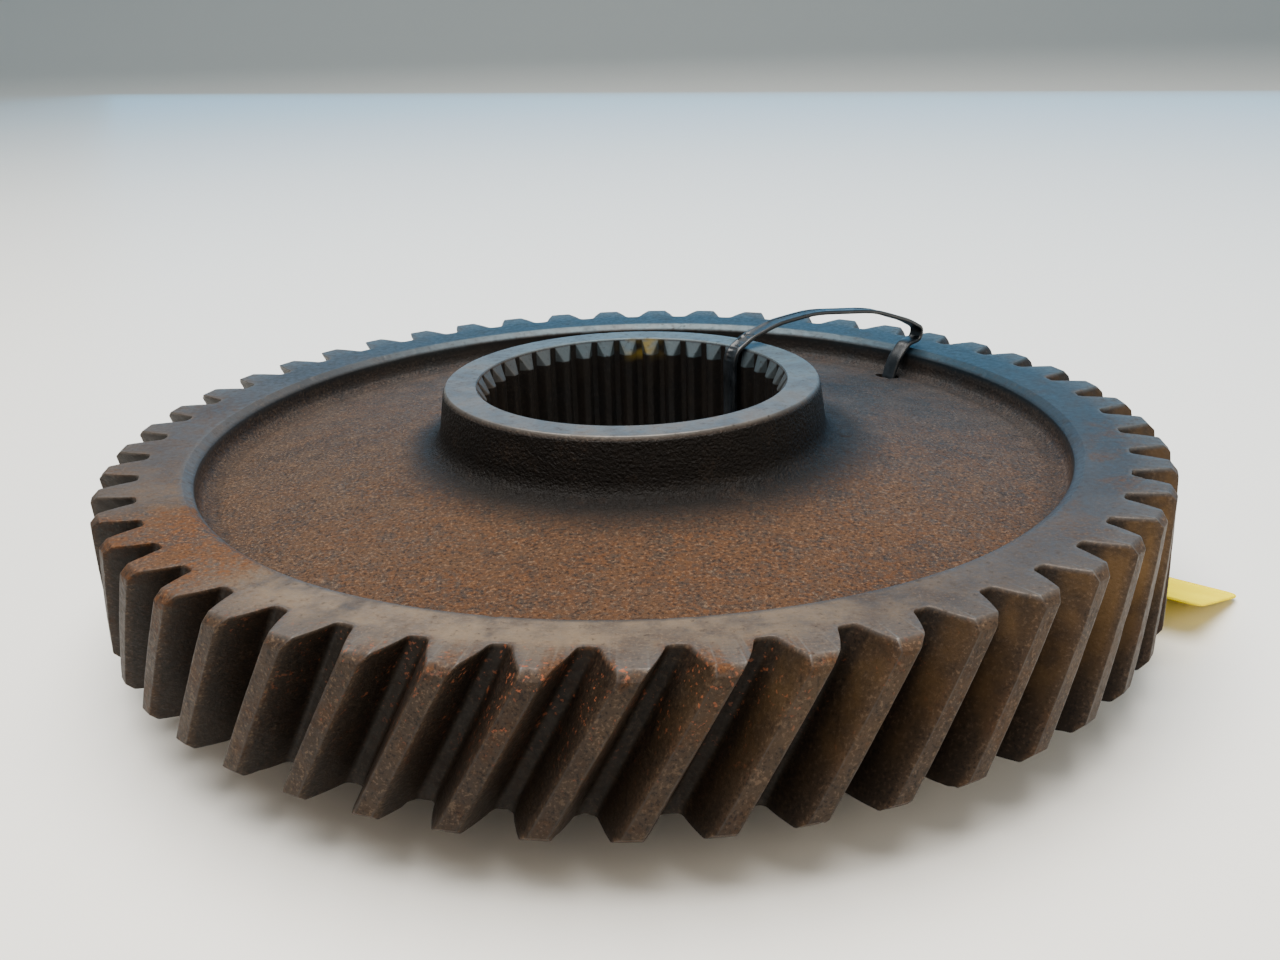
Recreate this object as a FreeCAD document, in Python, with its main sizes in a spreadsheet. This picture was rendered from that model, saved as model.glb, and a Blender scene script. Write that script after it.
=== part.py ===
import FreeCAD, Part
import math
import os
import Sketcher

# Splined helical gear wheel, forged in one piece, with the loose cable tie and
# the yellow identification tag that hang on it.
#
# Frame: +Z along the bore, z = 0 on the lower hub face that the wheel stands on,
# origin on the bore axis.  All sizes are millimetres and degrees.

V = FreeCAD.Vector
doc = FreeCAD.newDocument("splined_gear")

# ---------------------------------------------------------------- spreadsheet
sheet = doc.addObject("Spreadsheet::Sheet", "sizes")
CELLS = [
    # toothing
    ("tooth_count", 49, "number of helical teeth"),
    ("normal_module", 5.0, "module in the normal plane"),
    ("pressure_angle", 20.0, "normal pressure angle"),
    ("helix_angle", 28.0, "right-hand helix"),
    ("face_width", 38.0, "rim width along the axis"),
    ("tip_radius", 143.74, "outside radius over the teeth"),
    ("root_radius", 132.49, "radius at the bottom of the tooth gaps"),
    ("root_fillet", 1.7, "fillet at the bottom of a tooth gap"),
    ("tip_bevel", 2.0, "bevel on both ends of every tooth"),
    ("gap_phase", -152.935, "direction of the first tooth gap on the top face"),
    # heights
    ("rim_bottom", 14.0, "underside of the rim above the lower hub face"),
    ("rim_top", 52.0, "top face of the rim"),
    ("hub_top", 67.0, "top face of the hub"),
    # rim and web
    ("rim_inner_radius", 121.0, "edge of the recess inside the rim"),
    ("recess_wall_head", 118.6, "top of the recess wall, under its wide broken edge"),
    ("recess_edge_depth", 1.8, "depth of that broken edge"),
    ("rim_low_radius", 118.5, "edge of the recess under the rim"),
    ("recess_wall_foot", 117.6, "foot of the recess wall, drafted"),
    ("web_top_outer", 43.3, "height of the web's top skin at the rim"),
    ("web_top_inner", 51.4, "height of the web's top skin at the hub"),
    ("web_low_outer", 28.8, "height of the web's lower skin at the rim"),
    ("web_low_inner", 33.2, "height of the web's lower skin at the hub"),
    ("rim_fillet", 4.3, "fillet between rim and web, top"),
    ("rim_low_fillet", 6.0, "fillet between rim and web, below"),
    ("rim_edge_bevel", 0.8, "broken edge of the recess below"),
    # hub
    ("hub_top_radius", 51.2, "outer edge of the hub's top face"),
    ("hub_side_radius", 52.0, "hub outside radius under its broken edge"),
    ("hub_edge_depth", 1.4, "depth of the hub's broken edge"),
    ("hub_foot_radius", 54.0, "hub outside radius at the web, drafted"),
    ("hub_fillet", 5.6, "fillet between hub and web, top"),
    ("low_hub_radius", 54.0, "lower hub outside radius at its face"),
    ("low_hub_foot", 57.0, "lower hub outside radius at the web"),
    ("low_hub_fillet", 9.0, "fillet between lower hub and web"),
    ("low_hub_bevel", 1.2, "broken outer edge of the lower hub face"),
    # internal spline
    ("spline_teeth", 39, "number of internal spline teeth"),
    ("spline_minor", 40.2, "radius at the spline tips"),
    ("spline_major", 42.7, "radius at the spline roots"),
    ("spline_mouth", 42.95, "radius of the lead-in at the hub faces"),
    ("spline_leadin", 4.6, "axial depth of the lead-in"),
    ("spline_pitch_radius", 41.275, "pitch radius of the spline"),
    ("spline_phase", 91.1, "direction of a spline tooth"),
    # lower hub oil grooves and the hole in the web
    ("oil_groove_count", 3, "radial oil grooves in the lower hub face"),
    ("oil_groove_width", 12.0, "groove width"),
    ("oil_groove_depth", 2.4, "groove depth"),
    ("web_hole_radius", 3.9, "radius of the drilled hole in the web"),
    ("web_hole_at", 110.2, "distance of that hole from the axis"),
    # cable tie
    ("tie_azimuth", 40.0, "direction of the plane the tie lies in"),
    ("tie_width", 4.8, "strap width"),
    ("tie_thickness", 1.25, "strap thickness"),
    ("tie_bore_radius", 38.0, "distance of the strap from the axis inside the bore"),
    ("tie_low_height", 1.0, "height of the strap's middle in the oil groove"),
    ("tie_run_height", 6.5, "height of the strap's middle at the head"),
    ("head_width", 8.4, "head, across the strap"),
    ("head_depth", 5.4, "head, through the strap"),
    ("head_height", 8.6, "head, along the strap"),
    ("head_low", 3.9, "underside of the head"),
    # tag
    ("tag_length", 136.0, "tag, along"),
    ("tag_width", 35.0, "tag, across"),
    ("tag_thickness", 0.8, "tag sheet thickness"),
    ("tag_end", 12.0, "from the eyelet to the tag's near end"),
    ("tag_corner", 4.0, "tag corner radius"),
    ("tag_eyelet", 5.5, "radius of the tag's eyelet"),
    ("tag_azimuth", -41.3, "direction the tag points in"),
    ("tag_roll", 16.0, "slope of the tag across its width"),
    ("eyelet_radius", 87.6, "distance of the eyelet from the axis"),
    ("eyelet_height", 5.43, "height of the eyelet's middle"),
]
for row, (alias, value, note) in enumerate(CELLS, start=1):
    sheet.set("A%d" % row, alias)
    sheet.set("B%d" % row, repr(value))
    sheet.set("C%d" % row, note)
    sheet.setAlias("B%d" % row, alias)
doc.recompute()


def size(alias):
    return float(sheet.get(alias))


# -------------------------------------------------------------------- helpers
def origin_plane(body, role):
    for feature in body.Origin.OriginFeatures:
        if feature.Role == role:
            return feature
    raise RuntimeError("no plane " + role)


def attach(sketch, body, role):
    sketch.AttachmentSupport = [(origin_plane(body, role), "")]
    sketch.MapMode = "FlatFace"


def bound_polygon(body, name, role, corners):
    """A closed sketch of straight lines.  corners = (x expression, y expression);
    every corner is dimensioned from the origin and bound to the sheet."""
    sketch = body.newObject("Sketcher::SketchObject", name)
    attach(sketch, body, role)
    start = []
    for ex, ey in corners:
        start.append(V(evaluate(ex), evaluate(ey), 0))
    count = len(corners)
    for i in range(count):
        sketch.addGeometry(Part.LineSegment(start[i], start[(i + 1) % count]), False)
    for i in range(count):
        sketch.addConstraint(
            Sketcher.Constraint("Coincident", i, 2, (i + 1) % count, 1)
        )
    for i, (ex, ey) in enumerate(corners):
        for kind, expression, value in (
            ("DistanceX", ex, start[i].x),
            ("DistanceY", ey, start[i].y),
        ):
            if abs(value) < 1e-9:
                sketch.addConstraint(
                    Sketcher.Constraint(
                        "PointOnObject", i, 1, -2 if kind == "DistanceX" else -1
                    )
                )
                continue
            if value > 0:
                k = sketch.addConstraint(
                    Sketcher.Constraint(kind, -1, 1, i, 1, value)
                )
                sketch.setExpression("Constraints[%d]" % k, expression)
            else:
                k = sketch.addConstraint(
                    Sketcher.Constraint(kind, i, 1, -1, 1, -value)
                )
                sketch.setExpression("Constraints[%d]" % k, "-(" + expression + ")")
    return sketch


def evaluate(expression):
    """The value of a sheet expression made of aliases, numbers and + - * /."""
    text = expression.replace("sizes.", "").replace(" ", "")
    total, sign, term = 0.0, 1.0, ""
    parts = []
    for ch in text:
        if ch in "+-" and term:
            parts.append((sign, term))
            sign, term = (1.0 if ch == "+" else -1.0), ""
        elif ch in "+-":
            sign = -sign if ch == "-" else sign
        else:
            term += ch
    parts.append((sign, term))
    for sign, term in parts:
        value = 1.0
        divide = False
        word = ""
        for ch in term + "*":
            if ch in "*/":
                number = size(word) if word[0].isalpha() else float(word)
                value = value / number if divide else value * number
                divide = ch == "/"
                word = ""
            else:
                word += ch
        total += sign * value
    return total


def circle_edge(shape, radius, height):
    """Name of the full circle about the axis nearest to this radius and height."""
    best = None
    for i, edge in enumerate(shape.Edges, start=1):
        if isinstance(edge.Curve, Part.Circle) and abs(edge.Length - 2 * math.pi * edge.Curve.Radius) < 0.01:
            c = edge.Curve
            d = abs(c.Radius - radius) + abs(c.Center.z - height)
            if best is None or d < best[0]:
                best = (d, "Edge%d" % i)
    if best is None or best[0] > 0.6:
        raise RuntimeError("no edge at radius %.2f height %.2f" % (radius, height))
    return best[1]


# ---------------------------------------------------------------- gear blank
# The turned forging: one closed section revolved about the bore axis.
wheel = doc.addObject("PartDesign::Body", "gear_blank")
S = "sizes."
section = bound_polygon(
    wheel,
    "blank_section",
    "XZ_Plane",
    [
        (S + "spline_mouth", "0"),
        (S + "low_hub_radius", "0"),
        (S + "low_hub_foot", S + "web_low_inner"),
        (S + "recess_wall_foot", S + "web_low_outer"),
        (S + "rim_low_radius", S + "rim_bottom"),
        (S + "tip_radius - " + S + "tip_bevel", S + "rim_bottom"),
        (S + "tip_radius", S + "rim_bottom + " + S + "tip_bevel"),
        (S + "tip_radius", S + "rim_top - " + S + "tip_bevel"),
        (S + "tip_radius - " + S + "tip_bevel", S + "rim_top"),
        (S + "rim_inner_radius", S + "rim_top"),
        (S + "recess_wall_head", S + "rim_top - " + S + "recess_edge_depth"),
        (S + "recess_wall_foot", S + "web_top_outer"),
        (S + "hub_foot_radius", S + "web_top_inner"),
        (S + "hub_side_radius", S + "hub_top - " + S + "hub_edge_depth"),
        (S + "hub_top_radius", S + "hub_top"),
        (S + "spline_mouth", S + "hub_top"),
        (S + "spline_minor", S + "hub_top - " + S + "spline_leadin"),
        (S + "spline_minor", S + "spline_leadin"),
    ],
)
turned = wheel.newObject("PartDesign::Revolution", "turned_blank")
turned.Profile = section
turned.ReferenceAxis = (section, ["V_Axis"])
turned.Angle = 360.0
doc.recompute()


def dress(body, base, kind, name, places, alias):
    feature = body.newObject("PartDesign::" + kind, name)
    feature.Base = (base, [circle_edge(base.Shape, r, z) for r, z in places])
    feature.setExpression("Radius" if kind == "Fillet" else "Size", S + alias)
    doc.recompute()
    return feature


step = dress(wheel, turned, "Fillet", "hub_fillet_top",
             [(size("hub_foot_radius"), size("web_top_inner"))], "hub_fillet")
step = dress(wheel, step, "Fillet", "hub_fillet_low",
             [(size("low_hub_foot"), size("web_low_inner"))], "low_hub_fillet")
step = dress(wheel, step, "Fillet", "rim_fillet_top",
             [(size("recess_wall_foot"), size("web_top_outer"))], "rim_fillet")
step = dress(wheel, step, "Fillet", "rim_fillet_low",
             [(size("recess_wall_foot"), size("web_low_outer"))], "rim_low_fillet")
step = dress(wheel, step, "Chamfer", "rim_edges",
             [(size("rim_low_radius"), size("rim_bottom"))], "rim_edge_bevel")
step = dress(wheel, step, "Chamfer", "low_hub_edge",
             [(size("low_hub_radius"), 0.0)], "low_hub_bevel")

# Drilled hole through the web.
hole_sketch = wheel.newObject("Sketcher::SketchObject", "web_hole_sketch")
attach(hole_sketch, wheel, "XY_Plane")
a = math.radians(size("tie_azimuth"))
hole_sketch.addGeometry(
    Part.Circle(V(size("web_hole_at") * math.cos(a), size("web_hole_at") * math.sin(a), 0),
                V(0, 0, 1), size("web_hole_radius")), False)
k = hole_sketch.addConstraint(Sketcher.Constraint("Radius", 0, size("web_hole_radius")))
hole_sketch.setExpression("Constraints[%d]" % k, S + "web_hole_radius")
k = hole_sketch.addConstraint(
    Sketcher.Constraint("DistanceX", -1, 1, 0, 3, size("web_hole_at") * math.cos(a)))
hole_sketch.setExpression("Constraints[%d]" % k, S + "web_hole_at * cos(" + S + "tie_azimuth)")
k = hole_sketch.addConstraint(
    Sketcher.Constraint("DistanceY", -1, 1, 0, 3, size("web_hole_at") * math.sin(a)))
hole_sketch.setExpression("Constraints[%d]" % k, S + "web_hole_at * sin(" + S + "tie_azimuth)")
before = step.Shape.Volume
hole = wheel.newObject("PartDesign::Pocket", "web_hole")
hole.Profile = hole_sketch
hole.Type = "ThroughAll"
hole.Reversed = True
doc.recompute()
if hole.Shape.Volume > before - 300:
    raise RuntimeError("the web hole cut nothing")

# Radial oil grooves across the lower hub face, one in line with the hole.
groove_sketch = wheel.newObject("Sketcher::SketchObject", "oil_groove_sketch")
attach(groove_sketch, wheel, "XY_Plane")
gw = size("oil_groove_width") / 2.0
ra, rb = 30.0, 62.0
c, s = math.cos(a), math.sin(a)
pts = [V(r * c - w * s, r * s + w * c, 0) for r, w in ((ra, -gw), (rb, -gw), (rb, gw), (ra, gw))]
for i in range(4):
    groove_sketch.addGeometry(Part.LineSegment(pts[i], pts[(i + 1) % 4]), False)
for i in range(4):
    groove_sketch.addConstraint(Sketcher.Constraint("Coincident", i, 2, (i + 1) % 4, 1))
for i in range(3):
    groove_sketch.addConstraint(Sketcher.Constraint("Perpendicular", i, i + 1))
k = groove_sketch.addConstraint(Sketcher.Constraint("Distance", 1, 2 * gw))
groove_sketch.setExpression("Constraints[%d]" % k, S + "oil_groove_width")
before = hole.Shape.Volume
groove = wheel.newObject("PartDesign::Pocket", "oil_groove")
groove.Profile = groove_sketch
groove.setExpression("Length", S + "oil_groove_depth")
groove.Reversed = True
doc.recompute()
if groove.Shape.Volume > before - 50:
    raise RuntimeError("the oil groove cut nothing")
grooves = wheel.newObject("PartDesign::PolarPattern", "oil_grooves")
grooves.Originals = [groove]
grooves.Axis = (groove_sketch, ["N_Axis"])
grooves.Angle = 360.0
grooves.setExpression("Occurrences", S + "oil_groove_count")
wheel.Tip = grooves
doc.recompute()
if grooves.Shape.Volume > groove.Shape.Volume - 50:
    raise RuntimeError("the oil grooves were not repeated")

# ------------------------------------------------------------- tooth gaps
# Transverse section of one gap between two helical teeth: involute flanks that
# run out past the tips, a fillet at each side of the root and the root circle.
N = int(size("tooth_count"))
beta = math.radians(size("helix_angle"))
alpha_n = math.radians(size("pressure_angle"))
m_t = size("normal_module") / math.cos(beta)
r_pitch = N * m_t / 2.0
alpha_t = math.atan(math.tan(alpha_n) / math.cos(beta))
r_base = r_pitch * math.cos(alpha_t)
r_root = size("root_radius")
rho = size("root_fillet")


def inv(angle):
    return math.tan(angle) - angle


def half_gap(radius):
    """Half the angle of the gap between two teeth at this radius."""
    at = math.acos(min(1.0, r_base / radius))
    tooth = math.pi / (2 * N) + inv(alpha_t) - inv(at)
    return math.pi / N - tooth


# Centre of the root fillet: rho from the flank and from the root circle.
def flank_point(radius, side=1.0):
    h = half_gap(radius) * side
    return V(radius * math.cos(h), radius * math.sin(h), 0)


def fillet_centre():
    low, high = 0.0, half_gap(r_root + rho)
    rc = r_root + rho
    for _ in range(60):
        mid = (low + high) / 2.0
        centre = V(rc * math.cos(mid), rc * math.sin(mid), 0)
        gap = min(
            (flank_point(r_root + 0.02 * i) - centre).Length for i in range(1, 400)
        )
        if gap > rho:
            low = mid
        else:
            high = mid
    return low, rc


fil_angle, fil_radius = fillet_centre()
fil_centre = V(fil_radius * math.cos(fil_angle), fil_radius * math.sin(fil_angle), 0)
touch = min(
    (r_root + 0.005 * i for i in range(1, 1600)),
    key=lambda r: (flank_point(r) - fil_centre).Length,
)
outer = size("tip_radius") + 3.0


def turned_vector(p, angle, z):
    return V(p.x * math.cos(angle) - p.y * math.sin(angle),
             p.x * math.sin(angle) + p.y * math.cos(angle), z)


def gap_wire(angle, z):
    def T(p):
        return turned_vector(p, angle, z)

    radii = [touch + (outer - touch) * i / 10.0 for i in range(11)]
    upper = [T(flank_point(r)) for r in radii]
    lower = [T(flank_point(r, -1.0)) for r in radii]
    foot = flank_point(touch)
    base = V(r_root * math.cos(fil_angle), r_root * math.sin(fil_angle), 0)
    d1, d2 = foot - fil_centre, base - fil_centre
    mid = d1 + d2
    mid.normalize()
    knee = fil_centre + mid * rho
    mirror = lambda p: V(p.x, -p.y, 0)
    up_curve = Part.BSplineCurve()
    up_curve.interpolate(upper)
    low_curve = Part.BSplineCurve()
    low_curve.interpolate(list(reversed(lower)))
    edges = [
        Part.Arc(T(base), T(knee), T(foot)).toShape(),
        up_curve.toShape(),
        Part.LineSegment(upper[-1], lower[-1]).toShape(),
        low_curve.toShape(),
        Part.Arc(T(mirror(foot)), T(mirror(knee)), T(mirror(base))).toShape(),
        Part.Arc(T(mirror(base)), T(V(r_root, 0, 0)), T(base)).toShape(),
    ]
    return Part.Wire(edges)


twist = math.tan(beta) / r_pitch
z_low, z_high = size("rim_bottom") - 2.0, size("rim_top") + 2.0
phase = math.radians(size("gap_phase"))
sections = []
for i in range(7):
    z = z_low + (z_high - z_low) * i / 6.0
    sections.append(gap_wire(phase + (z - size("rim_top")) * twist, z))
one_gap = Part.makeLoft(sections, True, False)
if one_gap.Volume < 0:
    one_gap.reverse()
all_gaps = []
for i in range(N):
    copy = one_gap.copy()
    copy.rotate(V(0, 0, 0), V(0, 0, 1), 360.0 * i / N)
    all_gaps.append(copy)
gaps = doc.addObject("Part::Feature", "tooth_gaps")
gaps.Shape = Part.makeCompound(all_gaps)

# ------------------------------------------------------------ spline gaps
# Straight 30 degree spline: one gap between two spline teeth, repeated.
NS = int(size("spline_teeth"))
rp, rr, rt = size("spline_pitch_radius"), size("spline_major"), size("spline_minor") - 0.6
half_pitch_width = math.pi * rp / NS / 2.0
slope = math.tan(math.radians(30.0))


def spline_half(radius):
    return half_pitch_width - (radius - rp) * slope


corner = [
    V(rt, -spline_half(rt) , 0), V(rr, -spline_half(rr), 0),
    V(rr, spline_half(rr), 0), V(rt, spline_half(rt), 0),
]
# Space width shrinks outward, so a tooth is widest at its root.
gap_face_edges = [
    Part.LineSegment(corner[0], corner[1]).toShape(),
    Part.Arc(corner[1], V(math.hypot(rr, spline_half(rr)), 0, 0), corner[2]).toShape(),
    Part.LineSegment(corner[2], corner[3]).toShape(),
    Part.LineSegment(corner[3], corner[0]).toShape(),
]
gap_prism = Part.Face(Part.Wire(gap_face_edges)).extrude(V(0, 0, size("hub_top") + 2.0))
gap_prism.translate(V(0, 0, -1.0))
spline_gaps = []
for i in range(NS):
    copy = gap_prism.copy()
    copy.rotate(V(0, 0, 0), V(0, 0, 1), size("spline_phase") + 360.0 * (i + 0.5) / NS)
    spline_gaps.append(copy)
spline_tool = doc.addObject("Part::Feature", "spline_gaps")
spline_tool.Shape = Part.makeCompound(spline_gaps)

splined = doc.addObject("Part::Cut", "splined_blank")
splined.Base = wheel
splined.Tool = spline_tool
gear = doc.addObject("Part::Cut", "gear_wheel")
gear.Base = splined
gear.Tool = gaps
gear.Label = "gear_wheel"
doc.recompute()

# ------------------------------------------------------------------ cable tie
# The strap's middle line in its own plane (distance from the bore axis, height),
# each corner with its bend radius.  It comes from the tail through the head,
# along the lower hub's oil groove, up the bore, over the hub and down through
# the hole in the web, back into the head.
run = size("tie_run_height")
low = size("tie_low_height")
inb = size("tie_bore_radius")
hz = size("head_low") + size("head_height")
ROUTE = [
    (118.0, run, 0.0),
    (95.0, run, 30.0),
    (58.0, low, 30.0),
    (inb, low, 3.2),
    (inb, 66.5, 5.0),
    (45.6, 69.9, 14.0),
    (56.5, 72.2, 40.0),
    (73.0, 72.5, 60.0),
    (101.0, 68.2, 60.0),
    (118.4, 61.9, 40.0),
    (125.2, 58.2, 2.2),
    (124.2, 54.6, 2.2),
    (118.5, 54.0, 4.0),
    (113.5, 49.6, 9.0),
    (110.6, 43.4, 12.0),
    (109.9, 30.0, 60.0),
    (108.5, hz - 1.0, 0.0),
]


def band(route, thickness):
    """Closed outline of a strap of this thickness along a route of straight runs
    joined by tangent arcs, and the length of its middle line."""
    n = len(route)
    P = [V(x, 0, z) for x, z, _ in route]
    length = 0.0
    spans = []
    start = P[0]
    for i in range(1, n - 1):
        u = P[i] - P[i - 1]
        w = P[i + 1] - P[i]
        u.normalize()
        w.normalize()
        cross = u.z * w.x - u.x * w.z
        turn = math.acos(max(-1.0, min(1.0, u.dot(w))))
        radius = route[i][2]
        reach = radius * math.tan(turn / 2.0)
        a0 = P[i] - u * reach
        a1 = P[i] + w * reach
        spans.append(("line", start, a0, u))
        length += (a0 - start).Length
        if (a0 - start).dot(u) < -1e-6:
            raise RuntimeError("the bend at corner %d overruns its run" % i)
        # left of travel
        side = -1.0 if cross > 0 else 1.0
        left = V(-u.z, 0, u.x)
        centre = a0 + left * (radius * side)
        spans.append(("arc", a0, a1, centre, side, radius, P[i]))
        length += radius * turn
        start = a1
    u = P[-1] - P[-2]
    u.normalize()
    if (P[-1] - start).dot(u) < -1e-6:
        raise RuntimeError("the last bend overruns its run")
    spans.append(("line", start, P[-1], u))
    length += (P[-1] - start).Length

    def side_edges(offset):
        out = []
        for s in spans:
            if s[0] == "line":
                left = V(-s[3].z, 0, s[3].x)
                p, q = s[1] + left * offset, s[2] + left * offset
                if (q - p).Length > 1e-6:
                    out.append(("l", p, q))
            else:
                _, a0, a1, centre, side, radius, knee = s
                r = radius - side * offset
                d0, d1 = a0 - centre, a1 - centre
                dm = knee - centre
                d0.normalize()
                d1.normalize()
                dm.normalize()
                out.append(("a", centre + d0 * r, centre + dm * r, centre + d1 * r))
        return out

    edges = []
    left_side = side_edges(thickness / 2.0)
    right_side = side_edges(-thickness / 2.0)
    for e in left_side:
        if e[0] == "l":
            edges.append(Part.LineSegment(e[1], e[2]).toShape())
        else:
            edges.append(Part.Arc(e[1], e[2], e[3]).toShape())
    edges.append(Part.LineSegment(left_side[-1][-1], right_side[-1][-1]).toShape())
    for e in reversed(right_side):
        if e[0] == "l":
            edges.append(Part.LineSegment(e[2], e[1]).toShape())
        else:
            edges.append(Part.Arc(e[3], e[2], e[1]).toShape())
    edges.append(Part.LineSegment(right_side[0][1], left_side[0][1]).toShape())
    return Part.Wire(edges), length


strap_wire, strap_length = band(ROUTE, size("tie_thickness"))
strap_outline = doc.addObject("Part::Feature", "strap_outline")
strap_outline.Shape = Part.Face(strap_wire)
strap = doc.addObject("Part::Extrusion", "strap")
strap.Base = strap_outline
strap.DirMode = "Custom"
strap.Dir = V(0, 1, 0)
strap.Symmetric = True
strap.setExpression("LengthFwd", S + "tie_width")
strap.Solid = True
head = doc.addObject("Part::Box", "tie_head")
head.setExpression("Length", S + "head_depth")
head.setExpression("Width", S + "head_width")
head.setExpression("Height", S + "head_height")
head.setExpression("Placement.Base.x", "108.5 - " + S + "head_depth / 2")
head.setExpression("Placement.Base.y", "-" + S + "head_width / 2")
head.setExpression("Placement.Base.z", S + "head_low")
tie = doc.addObject("Part::Fuse", "cable_tie")
tie.Base = strap
tie.Tool = head
tie.Label = "cable_tie"
doc.recompute()
tie.Placement = FreeCAD.Placement(V(0, 0, 0), FreeCAD.Rotation(V(0, 0, 1), size("tie_azimuth")))

# ------------------------------------------------------------------------ tag
# A flat sheet with rounded corners and one round eyelet that the strap threads.
tag = doc.addObject("PartDesign::Body", "id_tag")
tag.Label = "id_tag"
outline = bound_polygon(
    tag,
    "tag_outline",
    "XY_Plane",
    [
        ("-" + S + "tag_end", "-" + S + "tag_width / 2"),
        (S + "tag_length - " + S + "tag_end", "-" + S + "tag_width / 2"),
        (S + "tag_length - " + S + "tag_end", S + "tag_width / 2"),
        ("-" + S + "tag_end", S + "tag_width / 2"),
    ],
)
blank = tag.newObject("PartDesign::Pad", "tag_sheet")
blank.Profile = outline
blank.setExpression("Length", S + "tag_thickness")
blank.Midplane = True
doc.recompute()
corners = tag.newObject("PartDesign::Fillet", "tag_corners")
names = []
for i, edge in enumerate(blank.Shape.Edges, start=1):
    if abs(edge.Length - size("tag_thickness")) < 1e-6:
        names.append("Edge%d" % i)
corners.Base = (blank, names)
corners.setExpression("Radius", S + "tag_corner")
doc.recompute()
eye_sketch = tag.newObject("Sketcher::SketchObject", "eyelet_sketch")
attach(eye_sketch, tag, "XY_Plane")
eye_sketch.addGeometry(Part.Circle(V(0, 0, 0), V(0, 0, 1), size("tag_eyelet")), False)
eye_sketch.addConstraint(Sketcher.Constraint("Coincident", 0, 3, -1, 1))
k = eye_sketch.addConstraint(Sketcher.Constraint("Radius", 0, size("tag_eyelet")))
eye_sketch.setExpression("Constraints[%d]" % k, S + "tag_eyelet")
eye = tag.newObject("PartDesign::Pocket", "tag_eyelet_hole")
eye.Profile = eye_sketch
eye.Type = "ThroughAll"
eye.Midplane = True
doc.recompute()
if eye.Shape.Volume > corners.Shape.Volume - 10:
    raise RuntimeError("the eyelet cut nothing")
az = math.radians(size("tie_azimuth"))
tag.Placement = FreeCAD.Placement(
    V(size("eyelet_radius") * math.cos(az), size("eyelet_radius") * math.sin(az),
      size("eyelet_height")),
    FreeCAD.Rotation(V(0, 0, 1), size("tag_azimuth")).multiply(
        FreeCAD.Rotation(V(1, 0, 0), -size("tag_roll"))),
)
doc.recompute()

# --------------------------------------------------------------- check, write
for obj in doc.Objects:
    if any(word in str(obj.State) for word in ("Invalid", "Error")):
        raise RuntimeError("%s failed: %s" % (obj.Name, obj.State))
NODES = [gear, tie, tag]
os.makedirs("parts", exist_ok=True)
for node in NODES:
    shape = node.Shape
    if shape.isNull() or not shape.isValid():
        raise RuntimeError(node.Label + " is not a valid shape")
    print("%-12s solids %d faces %d volume %.1f mm3 box %s" % (
        node.Label, len(shape.Solids), len(shape.Faces), shape.Volume, shape.BoundBox))
print("strap length %.1f mm" % strap_length)
print("tag against strap %.3f mm, strap against gear %.3f mm, tag against gear %.3f mm" % (
    tag.Shape.distToShape(tie.Shape)[0], tie.Shape.distToShape(gear.Shape)[0],
    tag.Shape.distToShape(gear.Shape)[0]))
for node in NODES:
    node.Shape.exportStep("parts/" + node.Label + ".step")
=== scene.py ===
import math

import bpy
import numpy as np
from mathutils import Matrix, Vector


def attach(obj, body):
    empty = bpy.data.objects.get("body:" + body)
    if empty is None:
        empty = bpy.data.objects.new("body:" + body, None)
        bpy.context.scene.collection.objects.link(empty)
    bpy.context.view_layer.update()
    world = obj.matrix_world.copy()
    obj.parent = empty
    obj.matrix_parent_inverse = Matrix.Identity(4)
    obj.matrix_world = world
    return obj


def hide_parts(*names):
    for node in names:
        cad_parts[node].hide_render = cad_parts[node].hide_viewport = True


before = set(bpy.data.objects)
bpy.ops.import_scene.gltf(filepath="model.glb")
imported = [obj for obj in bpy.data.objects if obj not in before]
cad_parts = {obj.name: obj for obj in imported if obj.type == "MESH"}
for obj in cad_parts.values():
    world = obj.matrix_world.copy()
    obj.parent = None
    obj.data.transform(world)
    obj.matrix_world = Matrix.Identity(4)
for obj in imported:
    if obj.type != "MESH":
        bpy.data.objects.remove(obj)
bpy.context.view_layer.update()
MM = 0.001
rad = math.radians

# --------------------------------------------------------------------- noise
_rs = np.random.RandomState(11)
_table = _rs.rand(64, 64, 64)


def vnoise(p, scale, seed=0):
    """Smooth value noise, -1 to 1.  p is (n, 3) in mm, scale is the cell in mm."""
    q = p / scale + seed * 17.37 + 1000.0
    i = np.floor(q).astype(int)
    f = q - i
    f = f * f * (3 - 2 * f)
    out = np.zeros(len(p))
    for dx in (0, 1):
        for dy in (0, 1):
            for dz in (0, 1):
                w = (
                    (f[:, 0] if dx else 1 - f[:, 0])
                    * (f[:, 1] if dy else 1 - f[:, 1])
                    * (f[:, 2] if dz else 1 - f[:, 2])
                )
                out += w * _table[(i[:, 0] + dx) % 64, (i[:, 1] + dy) % 64, (i[:, 2] + dz) % 64]
    return out * 2 - 1


def fbm(p, scale, octaves=3, seed=0):
    out, amp, total = np.zeros(len(p)), 1.0, 0.0
    for k in range(octaves):
        out += amp * vnoise(p, scale / 2**k, seed + k * 3)
        total += amp
        amp *= 0.55
    return out / total


def smooth(x, a, b):
    t = np.clip((x - a) / (b - a), 0, 1)
    return t * t * (3 - 2 * t)


# ------------------------------------------------------------- gear geometry
N = 49
BETA = rad(28.0)
M_T = 5.0 / math.cos(BETA)
R_PITCH = N * M_T / 2
ALPHA_T = math.atan(math.tan(rad(20.0)) / math.cos(BETA))
R_BASE = R_PITCH * math.cos(ALPHA_T)
R_ROOT, R_TIP, RHO = 132.49, 143.74, 1.7
TWIST = math.tan(BETA) / R_PITCH
PHASE = rad(-152.935)
Z_TOP, Z_LOW, BEVEL = 52.0, 14.0, 2.0


def inv(a):
    return math.tan(a) - a


def half_gap(r):
    at = math.acos(min(1.0, R_BASE / r))
    return math.pi / N - (math.pi / (2 * N) + inv(ALPHA_T) - inv(at))


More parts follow.
